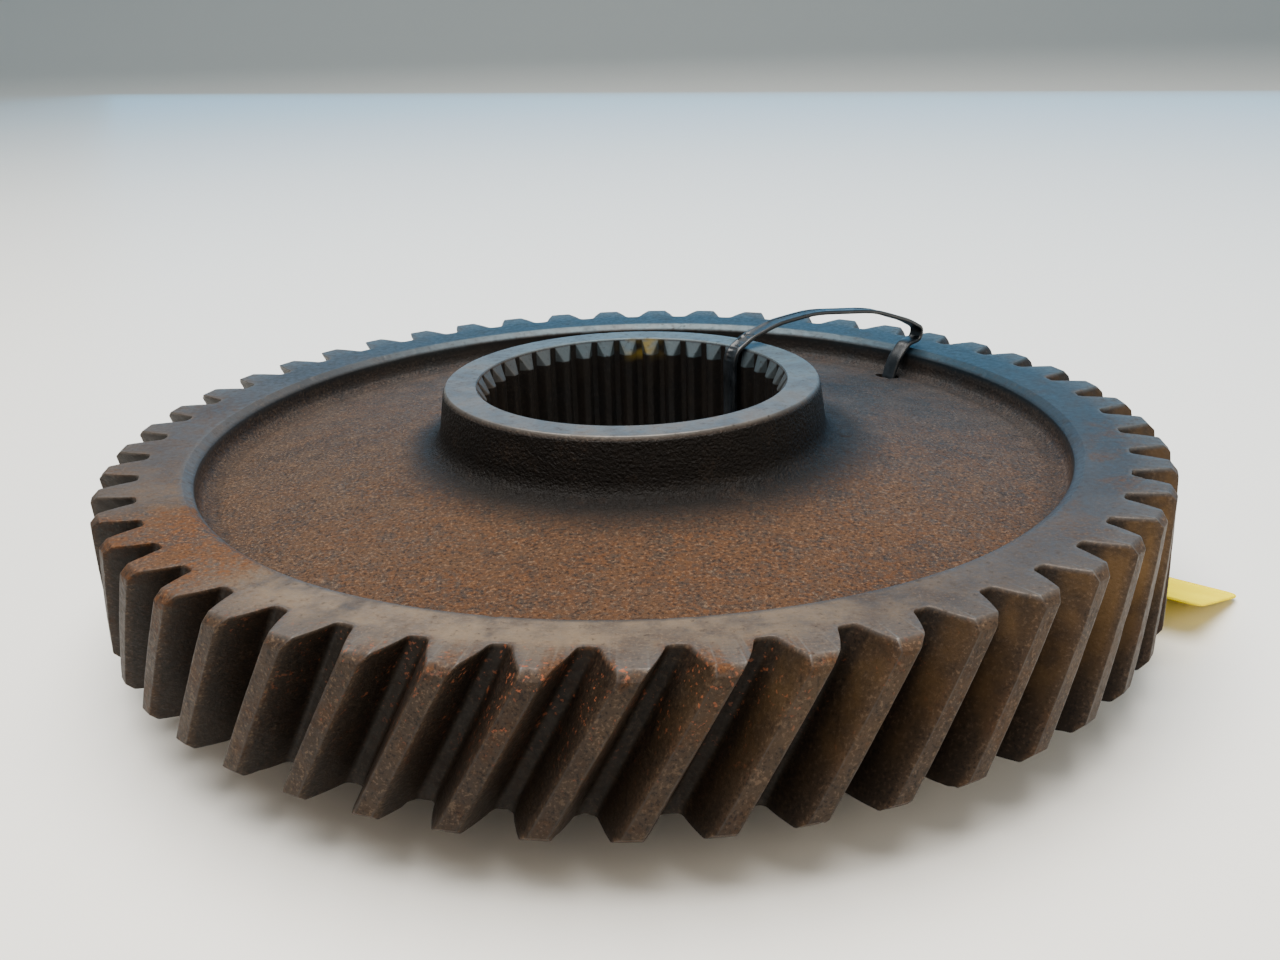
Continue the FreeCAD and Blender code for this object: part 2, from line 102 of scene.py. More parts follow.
def fillet_centre():
    low, high = 0.0, half_gap(R_ROOT + RHO)
    rc = R_ROOT + RHO
    for _ in range(50):
        mid = (low + high) / 2
        cx, cy = rc * math.cos(mid), rc * math.sin(mid)
        gap = min(
            math.hypot(r * math.cos(half_gap(r)) - cx, r * math.sin(half_gap(r)) - cy)
            for r in (R_ROOT + 0.02 * i for i in range(1, 300))
        )
        if gap > RHO:
            low = mid
        else:
            high = mid
    return low, rc


FIL_A, FIL_R = fillet_centre()
fx, fy = FIL_R * math.cos(FIL_A), FIL_R * math.sin(FIL_A)
TOUCH = min(
    (R_ROOT + 0.01 * i for i in range(1, 800)),
    key=lambda r: math.hypot(r * math.cos(half_gap(r)) - fx, r * math.sin(half_gap(r)) - fy),
)


def half_profile(delta, tip):
    """(angle, radius) from the middle of a gap to the middle of a tooth, with
    everything drawn in by delta mm into the metal."""
    pts = []
    for k in (0.0, 0.5):
        pts.append((FIL_A * k, R_ROOT - delta))
    hf = half_gap(TOUCH)
    tx, ty = TOUCH * math.cos(hf) - fx, TOUCH * math.sin(hf) - fy
    d1 = math.atan2(ty, tx)
    d0 = math.pi + FIL_A
    if d1 < 0:
        d1 += 2 * math.pi
    for k in range(6):
        a = d0 + (d1 - d0) * k / 5.0
        x = fx + (RHO + delta) * math.cos(a)
        y = fy + (RHO + delta) * math.sin(a)
        pts.append((math.atan2(y, x), math.hypot(x, y)))
    edge = 0.3
    start, end = pts[-1][1], tip - delta - edge
    for k in range(1, 7):
        r = start + (end - start) * k / 6.0
        pts.append((half_gap(r) + 1.07 * delta / r, r))
    for back, side in ((0.12, 0.04), (0.03, 0.13), (0.0, 0.3), (0.0, 0.62)):
        r = tip - delta - back
        pts.append((half_gap(r) + (1.07 * delta + side) / r, r))
    last = pts[-1][0]
    for k in (0.5, 1.0):
        pts.append((last + (math.pi / N - last) * k, tip - delta))
    return pts


def loop_at(z, delta):
    """Angles and radii of the whole tooth outline at this height."""
    tip = min(R_TIP, R_TIP - BEVEL + (Z_TOP - z), R_TIP - BEVEL + (z - Z_LOW))
    half = half_profile(delta, tip)
    a = [-p[0] for p in reversed(half[1:])] + [p[0] for p in half[:-1]]
    r = [p[1] for p in reversed(half[1:])] + [p[1] for p in half[:-1]]
    a, r = np.array(a), np.array(r)
    angles = np.concatenate([a + 2 * math.pi * k / N for k in range(N)])
    radii = np.tile(r, N)
    return angles + PHASE + (z - Z_TOP) * TWIST, radii


def levels():
    out = []
    e = 0.3
    for k in range(4):
        t = math.pi / 2 * k / 3
        out.append((Z_TOP - e * (1 - math.cos(t)), e * (1 - math.sin(t))))
    for z in (50.9, 50.35, 50.05, 49.7, 49.2):
        out.append((z, 0.0))
    n = 22
    for k in range(1, n):
        out.append((49.2 - (49.2 - 16.8) * k / n, 0.0))
    for z in (16.8, 16.3, 15.95, 15.65, 15.1):
        out.append((z, 0.0))
    for k in range(3, -1, -1):
        t = math.pi / 2 * k / 3
        out.append((Z_LOW + e * (1 - math.cos(t)), e * (1 - math.sin(t))))
    return out


def round_poly(points, spacing):
    """A line through (r, z, fillet) corners, with the fillets drawn as arcs."""
    P = [np.array(p[:2], float) for p in points]
    out = [P[0]]
    for i in range(1, len(P) - 1):
        u = P[i] - P[i - 1]
        w = P[i + 1] - P[i]
        u, w = u / np.linalg.norm(u), w / np.linalg.norm(w)
        turn = math.acos(float(np.clip(u @ w, -1, 1)))
        rr = points[i][2]
        if rr <= 0 or turn < 1e-3:
            out.append(P[i])
            continue
        reach = rr * math.tan(turn / 2)
        side = 1.0 if u[0] * w[1] - u[1] * w[0] > 0 else -1.0
        c = P[i] - u * reach + np.array([-u[1], u[0]]) * rr * side
        steps = max(3, int(math.ceil(turn / rad(12.0))))
        v = P[i] - u * reach - c
        for k in range(steps + 1):
            a = side * turn * k / steps
            out.append(
                c + np.array([v[0] * math.cos(a) - v[1] * math.sin(a), v[0] * math.sin(a) + v[1] * math.cos(a)])
            )
    out.append(P[-1])
    dense = [out[0]]
    for q in out[1:]:
        d = np.linalg.norm(q - dense[-1])
        if d < 1e-4:
            continue
        n = max(1, int(math.ceil(d / spacing)))
        p0 = dense[-1]
        for k in range(1, n + 1):
            dense.append(p0 + (q - p0) * k / n)
    return np.array(dense)


def make_mesh(name, verts, faces, attributes=None, angle=34.0):
    me = bpy.data.meshes.new(name)
    me.from_pydata([tuple(v) for v in (np.asarray(verts) * MM).tolist()], [], faces)
    me.update()
    me.validate()
    for key, values in (attributes or {}).items():
        layer = me.attributes.new(key, "FLOAT_COLOR", "POINT")
        flat = np.ones((len(verts), 4), np.float32)
        flat[:, : values.shape[1]] = values
        layer.data.foreach_set("color", flat.reshape(-1))
    me.shade_smooth()
    me.set_sharp_from_angle(angle=rad(angle))
    ob = bpy.data.objects.new(name, me)
    bpy.context.scene.collection.objects.link(ob)
    return ob


rows = []
angle_rows = []
section = []
for z, delta in levels():
    a, r = loop_at(z, delta)
    rows.append(np.stack([r * np.cos(a), r * np.sin(a), np.full(len(a), z)], 1))
    angle_rows.append(a)
TEETH_ROWS = len(rows)
M = len(angle_rows[0])


def ring(angles, r, z):
    return np.stack([r * np.cos(angles), r * np.sin(angles), np.full(len(angles), z)], 1)


top_line = round_poly(
    [
        (131.4, 52.0, 0), (121.2, 52.0, 0.5), (118.6, 50.2, 0.7), (117.6, 43.3, 4.3),
        (54.0, 51.4, 5.6), (52.0, 65.6, 0.6), (51.2, 67.0, 0.5), (43.15, 67.0, 0.12), (42.95, 66.9, 0),
    ],
    1.3,
)
low_line = round_poly(
    [
        (131.4, 14.0, 0), (118.5, 14.0, 0.9), (117.6, 28.8, 6.0), (57.0, 33.2, 9.0),
        (54.0, 0.0, 1.3), (43.15, 0.0, 0.12), (42.95, 0.1, 0),
    ],
    1.8,
)
top_rows = [ring(angle_rows[0], r, z) for r, z in top_line]
low_rows = [ring(angle_rows[-1], r, z) for r, z in low_line]
# From the bore's mouth over the top, down the teeth and back under to the bore.
grid = list(reversed(top_rows)) + rows + low_rows
N_TOP = len(top_rows)
V = np.concatenate(grid)
ROWS = len(grid)
row_of = np.repeat(np.arange(ROWS), M)

rr = np.hypot(V[:, 0], V[:, 1])
az = np.degrees(np.arctan2(V[:, 1], V[:, 0]))

# Oil grooves across the lower hub face.
for centre in (40.0, 160.0, 280.0):
    c, s = math.cos(rad(centre)), math.sin(rad(centre))
    along = V[:, 0] * c + V[:, 1] * s
    across = np.abs(-V[:, 0] * s + V[:, 1] * c)
    inside = (along > 30) & (across < 6.0) & (V[:, 2] < 2.4) & (rr < 60) & (row_of >= N_TOP + TEETH_ROWS)
    V[inside, 2] = 2.4
    wall = inside & (rr > 53.9)
    V[wall, 0] *= 54.2 / rr[wall]
    V[wall, 1] *= 54.2 / rr[wall]

# Forged skin: slow waves, grain and pits on the web, the hub's side and the wall.
is_top = row_of < N_TOP
is_low = row_of >= N_TOP + TEETH_ROWS
zone_top = smooth(rr, 52.6, 55.0) * (1 - smooth(rr, 117.0, 118.3)) * is_top
zone_low = smooth(rr, 55.2, 58.0) * (1 - smooth(rr, 116.8, 118.2)) * is_low
wave = 0.22 * fbm(V, 38.0, 2, 1) + 0.1 * fbm(V, 7.0, 3, 5)
grain = 0.05 * fbm(V, 1.7, 2, 9)
pits = -0.3 * smooth(vnoise(V, 3.1, 21), 0.62, 0.9) * smooth(vnoise(V, 21.0, 4), -0.2, 0.5)
V[:, 2] += (wave + grain + pits) * zone_top * smooth(V[:, 2] * 0 + rr, 54.5, 58.0)
V[:, 2] += (wave + grain) * 1.4 * zone_low * smooth(rr, 57.5, 62.0)
radial = (0.16 * fbm(V, 11.0, 3, 31)) * (zone_top * (1 - smooth(rr, 55.0, 57.0)))
V[:, 0] *= 1 + radial / rr
V[:, 1] *= 1 + radial / rr

# A few dents of known place: (x, y, radius, depth) in mm on the top side.
for x, y, size, depth in (
    (-52.0, -62.0, 2.6, 0.35), (-16.0, -57.5, 2.2, 0.4), (66.0, -44.0, 1.8, 0.35), (88.0, -6.0, 1.6, 0.3),
    (-30.0, -96.0, 1.5, 0.25), (20.0, -84.0, 1.3, 0.25), (-84.0, 10.0, 2.0, 0.3), (70.0, 60.0, 1.6, 0.25),
    (-60.0, 76.0, 1.8, 0.3), (12.0, 98.0, 1.5, 0.25),
):
    d = np.hypot(V[:, 0] - x, V[:, 1] - y)
    V[:, 2] -= depth * np.exp(-((d / size) ** 2)) * is_top * (rr > 58) * (rr < 112)

# Worn and knocked tooth edges: the tips and the ends of the teeth drawn in a little.
is_teeth = ~is_top & ~is_low
tipness = smooth(rr, 140.2, 143.2) * is_teeth
wear = np.clip(fbm(V, 6.0, 2, 41), 0, 1) * 0.16 + np.clip(vnoise(V, 2.2, 47) - 0.62, 0, 1) * 0.45
V[:, 0] *= 1 - wear * tipness / rr
V[:, 1] *= 1 - wear * tipness / rr
knock = smooth(vnoise(V, 2.6, 53), 0.62, 0.95) * 0.4
top_edge = is_teeth & (V[:, 2] > 51.3)
V[:, 2] -= knock * top_edge
low_edge = is_teeth & (V[:, 2] < 14.7)
V[:, 2] += knock * low_edge
rim_nick = 0.2 * smooth(vnoise(V, 3.4, 61), 0.5, 0.95) * smooth(rr, 118.0, 119.2) * (1 - smooth(rr, 121.2, 122.3)) * is_top
V[:, 2] -= rim_nick
hub_nick = 0.16 * smooth(vnoise(V, 2.6, 67), 0.55, 0.95) * smooth(rr, 50.4, 51.2) * (1 - smooth(rr, 51.9, 52.1)) * is_top
V[:, 2] -= hub_nick
V[:, 2] = np.where(is_top, np.minimum(V[:, 2], 67.0), V[:, 2])

faces = []
# The drilled hole through the web, on both skins.
HX, HY, HR = 110.2 * math.cos(rad(40.0)), 110.2 * math.sin(rad(40.0)), 3.9
hd = np.hypot(V[:, 0] - HX, V[:, 1] - HY)
near_hole = hd < HR + 2.4
in_hole = hd < HR + 0.15
hole_row = in_hole & (is_top | is_low)
dropped = hole_row.reshape(ROWS, M)
for i in range(ROWS - 1):
    base = i * M
    block = dropped[i] | dropped[i + 1]
    for j in range(M):
        k = (j + 1) % M
        if block[j] or block[k]:
            continue
        faces.append((base + j, base + M + j, base + M + k, base + k))

# Draw the cut edge onto the hole's circle and line the hole with its wall.
from collections import defaultdict

count = defaultdict(int)
for f in faces:
    for a, b in ((f[0], f[1]), (f[1], f[2]), (f[2], f[3]), (f[3], f[0])):
        if near_hole[a] and near_hole[b]:
            count[(a, b)] += 1
open_edges = [(a, b) for (a, b) in count if (b, a) not in count and hd[a] < HR + 2.0 and hd[b] < HR + 2.0]
edge_verts = sorted(set(v for e in open_edges for v in e))
for v in edge_verts:
    dx, dy = V[v, 0] - HX, V[v, 1] - HY
    d = math.hypot(dx, dy)
    V[v, 0], V[v, 1] = HX + dx / d * HR, HY + dy / d * HR
extra, index_of = [], {}
for v in edge_verts:
    index_of[v] = len(V) + len(extra)
    extra.append([V[v, 0], V[v, 1], 36.4])
if extra:
    V = np.concatenate([V, np.array(extra)])
for a, b in open_edges:
    faces.append((b, a, index_of[a], index_of[b]))

# ------------------------------------------------------------ internal spline
NS = 39
RP, R_MAJ, R_MIN = 41.275, 42.7, 40.2
HPW = math.pi * RP / NS / 2


def spline_loop(t):
    """Angles and radii of the splined bore where the teeth stand in to radius t."""
    def flank(x):
        y = HPW - (x - RP) * math.tan(rad(30.0))
        return math.atan2(y, x), math.hypot(x, y)

    pts = [(0.0, max(R_MAJ, t))]
    a, r = flank(R_MAJ)
    pts.append((a * 0.55, max(r, t)))
    pts.append((a * 0.86, max(r, t)))
    a2, r2 = flank(R_MAJ - 0.22)
    pts.append((a2 * 1.0, max(r2, t)))
    xs = np.linspace(R_MAJ - 0.22, min(R_MAJ - 0.22, t + 0.14), 5)[1:]
    for x in xs:
        a, r = flank(x)
        pts.append((a, max(r, t)))
    a, r = flank(min(R_MAJ - 0.22, t + 0.02))
    pts.append((a + 0.1 / 40, max(r, t)))
    a, r = flank(min(R_MAJ - 0.22, t - 0.06))
    pts.append((a + 0.24 / 40, t))
    last = pts[-1][0]
    pts.append(((last + math.pi / NS) / 2, t))
    pts.append((math.pi / NS, t))
    a = [-p[0] for p in reversed(pts[1:])] + [p[0] for p in pts[:-1]]
    r = [p[1] for p in reversed(pts[1:])] + [p[1] for p in pts[:-1]]
    angles = np.concatenate([np.array(a) + 2 * math.pi * k / NS for k in range(NS)])
    return angles + rad(91.1 + 180.0 / NS), np.tile(np.array(r), NS)


s_levels = [66.9, 66.75, 66.58, 66.2, 65.7, 65.1, 64.4, 63.7, 63.1, 62.65, 62.4, 62.1]
s_levels += list(np.linspace(60.0, 7.0, 16))
s_levels += [4.9, 4.6, 4.35, 3.9, 3.3, 2.6, 1.9, 1.3, 0.8, 0.42, 0.25, 0.1]
s_rows = []
for z in s_levels:
    depth = min(67.0 - z, z)
    t = max(R_MIN, 42.95 - 2.75 * depth / 4.6)
    a, r = spline_loop(t)
    s_rows.append(np.stack([r * np.cos(a), r * np.sin(a), np.full(len(a), z)], 1))
SV = np.concatenate(s_rows)
SM = len(s_rows[0])
for centre in (40.0, 160.0, 280.0):
    c, s = math.cos(rad(centre)), math.sin(rad(centre))
    along = SV[:, 0] * c + SV[:, 1] * s
    across = np.abs(-SV[:, 0] * s + SV[:, 1] * c)
    inside = (along > 30) & (across < 6.0) & (SV[:, 2] < 2.4)
    SV[inside, 2] = 2.4
offset = len(V)
for i in range(len(s_rows) - 1):
    for j in range(SM):
        k = (j + 1) % SM
        faces.append((offset + i * SM + j, offset + i * SM + k, offset + (i + 1) * SM + k, offset + (i + 1) * SM + j))
spline_start = offset
V = np.concatenate([V, SV])

# ------------------------------------------------------------- finish masks
rr = np.hypot(V[:, 0], V[:, 1])
az = np.degrees(np.arctan2(V[:, 1], V[:, 0]))
row_all = np.concatenate([row_of, np.full(len(V) - len(row_of), -1)])
top_m = (row_all >= 0) & (row_all < N_TOP)
teeth_m = (row_all >= N_TOP) & (row_all < N_TOP + TEETH_ROWS)
low_m = row_all >= N_TOP + TEETH_ROWS
spl_m = row_all < 0


def around(direction, width):
    """1 in this direction from the axis, falling to 0 over width degrees."""
    d = np.abs((az - direction + 180) % 360 - 180)
    return 1 - smooth(d, 0, width)


n_big = fbm(V, 30.0, 3, 71)
n_mid = fbm(V, 9.0, 3, 75)
n_small = fbm(V, 2.4, 2, 79)
flat_rim = top_m & (rr > 121.6)
bevel = top_m & (rr > 118.2) & (rr <= 121.9) & (V[:, 2] > 49.6)
hub_face = (top_m | spl_m) & (V[:, 2] > 66.6)
leadin = spl_m & ((V[:, 2] > 62.2) | (V[:, 2] < 4.9)) & (rr < 42.62)
web = (top_m | low_m) & (rr > 55.0) & (rr < 118.3)
hub_side = top_m & (V[:, 2] > 51.0) & (V[:, 2] < 66.3) & (rr < 57.0)
# red: machined metal plus painted highlights on the tip lands and edge lines, green: orange rust, blue: painted shade
# plus dark oil
wall = top_m & (rr > 116.6) & (rr < 118.9) & (V[:, 2] < 50.4)
patch = np.exp(-(((az + 145.0 + 3.0 * n_mid) / 12.5) ** 4))
patch = patch * np.clip(0.95 + 0.9 * n_mid + 0.5 * n_small, 0, 1)
patch2 = np.exp(-(((V[:, 0] - 6.0) / 80.0) ** 2 + ((V[:, 1] + 139.0) / 7.0) ** 2))
patch2 = patch2 * smooth(n_small + 0.5 * n_mid, -0.1, 0.4)
rim_zone = (top_m | teeth_m) & (rr > 118.9) & (V[:, 2] > 49.0)
machined_and_highlight = 0.75 * flat_rim + 0.8 * bevel + 1.0 * hub_face + 0.8 * leadin
low_face = low_m & (V[:, 2] < 0.7)
machined_and_highlight = machined_and_highlight + 0.9 * low_face + 0.4 * (low_m & (rr > 118.2) & (V[:, 2] < 15))
tip_land = teeth_m & (rr > 143.3)
# The tip lands towards the front right get a painted highlight.
machined_and_highlight = machined_and_highlight + (0.06 + 0.3 * around(-38.0, 34.0)) * tip_land + 0.6 * (teeth_m & (V[:, 2] > 51.5)) + 0.3 * (teeth_m & (V[:, 2] < 14.6))
col_edge = np.zeros(len(V), bool)
per_half = len(half_profile(0.0, R_TIP))
ring_index = np.arange(len(row_of)) % M
in_tooth = ring_index % (2 * per_half - 2)
from_gap = np.abs(in_tooth - (per_half - 1))
col_edge[: len(row_of)] = (from_gap >= per_half - 5) & (from_gap <= per_half - 4)
# Painted highlight lines along the tooth edges and along the tooth tops' upper edges.
edge_highlight_line = teeth_m & col_edge & (V[:, 2] > 14.5)
tooth_top_highlight = teeth_m & (V[:, 2] > 51.6)
machined_and_highlight = np.clip(machined_and_highlight, 0, 1) * (1 - 0.9 * np.clip((patch + patch2 * 0.75) * rim_zone, 0, 1))
rust = 0.8 * web * np.clip(0.22 + 0.70 * around(-85.0, 105.0) + 0.30 * n_mid, 0, 1)
rust = rust + rim_zone * (1.3 * patch + 1.0 * patch2)
rust = rust + flat_rim * 0.45 * around(-150.0, 80.0) * smooth(n_mid, -0.2, 0.5)
rust = rust + flat_rim * 0.45 * around(-20.0, 50.0) * smooth(n_mid, -0.1, 0.4)
rust = rust + teeth_m * 0.45 * smooth(n_mid + 0.3 * n_small, -0.1, 0.5) * (1 - smooth(V[:, 2], 26.0, 44.0) * around(-30.0, 60.0))
rust = rust + low_m * 0.35 * smooth(n_big, -0.2, 0.6)
# Painted shade, plus dark oil in the tooth gaps: the hub's side and a band round its foot, the tooth flanks and gaps,
# the tip lands at the sides, the splined bore, the recess wall (darkest at the far side) and its foot, and the web
# towards the back right.
near_hub = top_m & (rr < 80) & (V[:, 2] < 66.3) & (rr > 51.0)
dark = 1.0 * hub_side + 1.0 * near_hub * (1 - smooth(rr, 57.0, 61.0 + 17.0 * around(-70.0, 170.0)))
dark = dark + 0.85 * teeth_m * (V[:, 2] < 51.6) * (1 - smooth(rr, 141.5, 143.3))
dark = dark + tip_land * (0.22 + 0.3 * around(-90.0, 50.0)) * smooth(n_mid, -1.1, -0.1)
dark = dark + teeth_m * smooth(rr, 141.3, 142.6) * (0.62 * around(4.0, 44.0) + 0.38 * around(185.0, 55.0)) * smooth(n_mid, -1.3, -0.3)
dark = dark + 0.9 * (spl_m & ~leadin & (V[:, 2] < 66.5))
dark = dark + wall * (0.35 + 0.65 * around(90.0, 110.0)) + 0.35 * top_m * (rr > 112.5) * (rr <= 116.6)
back_right_shade = np.exp(-(((V[:, 0] - 74.0) / 46.0) ** 2 + ((V[:, 1] - 40.0) / 40.0) ** 2))
dark = dark + 0.35 * back_right_shade * web
# Painted blue reflection of the backdrop, strongest towards the back and right.
cool = np.clip(around(68.0, 128.0) * 1.3, 0, 1) * np.ones(len(V))
flank_shine = teeth_m * around(-32.0, 70.0) * smooth(rr, 134.6, 138.5) * smooth(V[:, 2] + 3.0 * n_mid, 16.0, 40.0)
# Pale machined faces on the hub and the lower face, plus painted highlights on the recess bevel, the rim's front
# left, the tooth edge lines and the tooth tops.
pale_and_highlight = 1.0 * hub_face + 0.6 * leadin + 0.6 * low_face
pale_and_highlight = pale_and_highlight + bevel * (0.3 * around(-165.0, 100.0) + 0.9 * around(88.0, 60.0))
pale_and_highlight = pale_and_highlight + 0.42 * flat_rim * around(-115.0, 55.0) * smooth(n_mid + 0.4 * n_small, -0.7, 0.3)
pale_and_highlight = pale_and_highlight + 0.7 * edge_highlight_line * (0.12 + 0.88 * around(-35.0, 75.0)) * smooth(n_small + n_mid, -0.7, 0.3) + 0.5 * tooth_top_highlight
machined_and_highlight = machined_and_highlight + 0.7 * edge_highlight_line * smooth(n_small + n_mid, -0.7, 0.3)
# Painted warm highlight on the rim top's front left.
warm = flat_rim * around(-110.0, 75.0) * smooth(n_mid + 0.5 * n_small, -0.9, 0.2)
skin_grain = np.clip(1.0 * web * (1 - 0.7 * wall) + 0.7 * hub_side + 0.12 * (teeth_m | flat_rim) + 0.1 * spl_m, 0, 1)
grease = spl_m * np.exp(-(((V[:, 0] - 3.5) / 4.6) ** 2 + ((V[:, 1] - 42.0) / 3.5) ** 2)) * (V[:, 2] > 61.5) * smooth(n_small, -0.4, 0.3)
glitter = teeth_m * np.exp(-(((V[:, 0] + 20.0) / 55.0) ** 2)) * (V[:, 1] < -110) * smooth(V[:, 2], 20.0, 50.0)
masks = np.stack([np.clip(machined_and_highlight, 0, 1), np.clip(rust, 0, 1), np.clip(dark, 0, 1)], 1)
masks2 = np.stack([cool, np.clip(flank_shine, 0, 1), np.clip(pale_and_highlight, 0, 1)], 1)
masks3 = np.stack([skin_grain, np.clip(grease, 0, 1), np.clip(glitter, 0, 1)], 1)

gear = make_mesh("gear_wheel_worn", V, faces, {"zone_a": masks, "zone_b": masks2, "zone_c": masks3, "zone_d": np.repeat(warm[:, None], 3, 1)}, 36.0)
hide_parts("gear_wheel")
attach(gear, "gear")


# ------------------------------------------------------------------ materials
def new_material(name):
    mat = bpy.data.materials.new(name)
    mat.use_nodes = True
    nt = mat.node_tree
    for n in list(nt.nodes):
        nt.nodes.remove(n)
    out = nt.nodes.new("ShaderNodeOutputMaterial")
    bsdf = nt.nodes.new("ShaderNodeBsdfPrincipled")
    nt.links.new(bsdf.outputs[0], out.inputs[0])
    return mat, nt, bsdf


class Net:
    def __init__(self, nt):
        self.nt = nt

    def node(self, kind, **values):
        n = self.nt.nodes.new(kind)
        for key, value in values.items():
            setattr(n, key, value)
        return n

    def put(self, socket, value):
        if isinstance(value, bpy.types.NodeSocket):
            self.nt.links.new(value, socket)
        else:
            socket.default_value = value

    def noise(self, vector, scale, detail=4.0, rough=0.55, distortion=0.0):
        n = self.node("ShaderNodeTexNoise")
        self.put(n.inputs["Vector"], vector)
        n.inputs["Scale"].default_value = scale
        n.inputs["Detail"].default_value = detail
        n.inputs["Roughness"].default_value = rough
        n.inputs["Distortion"].default_value = distortion
        return n.outputs["Fac"]

    def voronoi(self, vector, scale, feature="F1"):
        n = self.node("ShaderNodeTexVoronoi", feature=feature)
        self.put(n.inputs["Vector"], vector)
        n.inputs["Scale"].default_value = scale
        return n.outputs["Distance"]

    def math(self, op, a, b=0.0, c=0.0, clamp=False):
        n = self.node("ShaderNodeMath", operation=op)
        n.use_clamp = clamp
        self.put(n.inputs[0], a)
        self.put(n.inputs[1], b)
        if op in ("MULTIPLY_ADD",):
            self.put(n.inputs[2], c)
        return n.outputs[0]

    def span(self, value, a, b, lo=0.0, hi=1.0):
        n = self.node("ShaderNodeMapRange", interpolation_type="SMOOTHSTEP")
        self.put(n.inputs["Value"], value)
        n.inputs["From Min"].default_value = a
        n.inputs["From Max"].default_value = b
        n.inputs["To Min"].default_value = lo
        n.inputs["To Max"].default_value = hi
        return n.outputs["Result"]

    def mix(self, fac, a, b, mode="MIX"):
        n = self.node("ShaderNodeMix", data_type="RGBA", blend_type=mode)
        self.put(n.inputs["Factor"], fac)
        self.put(n.inputs["A"], a if isinstance(a, bpy.types.NodeSocket) else tuple(a) + (1.0,))
        self.put(n.inputs["B"], b if isinstance(b, bpy.types.NodeSocket) else tuple(b) + (1.0,))
        return n.outputs["Result"]

    def mixf(self, fac, a, b):
        n = self.node("ShaderNodeMix", data_type="FLOAT")
        self.put(n.inputs["Factor"], fac)
        self.put(n.inputs["A"], a)
        self.put(n.inputs["B"], b)
        return n.outputs["Result"]

    def split(self, name):
        n = self.node("ShaderNodeAttribute", attribute_name=name, attribute_type="GEOMETRY")
        s = self.node("ShaderNodeSeparateColor")
        self.nt.links.new(n.outputs["Color"], s.inputs[0])
        return s.outputs[0], s.outputs[1], s.outputs[2]

    def bump(self, height, strength, distance, normal=None):
        n = self.node("ShaderNodeBump")
        n.inputs["Strength"].default_value = strength
        n.inputs["Distance"].default_value = distance
        self.put(n.inputs["Height"], height)
        if normal is not None:
            self.put(n.inputs["Normal"], normal)
        return n.outputs[0]


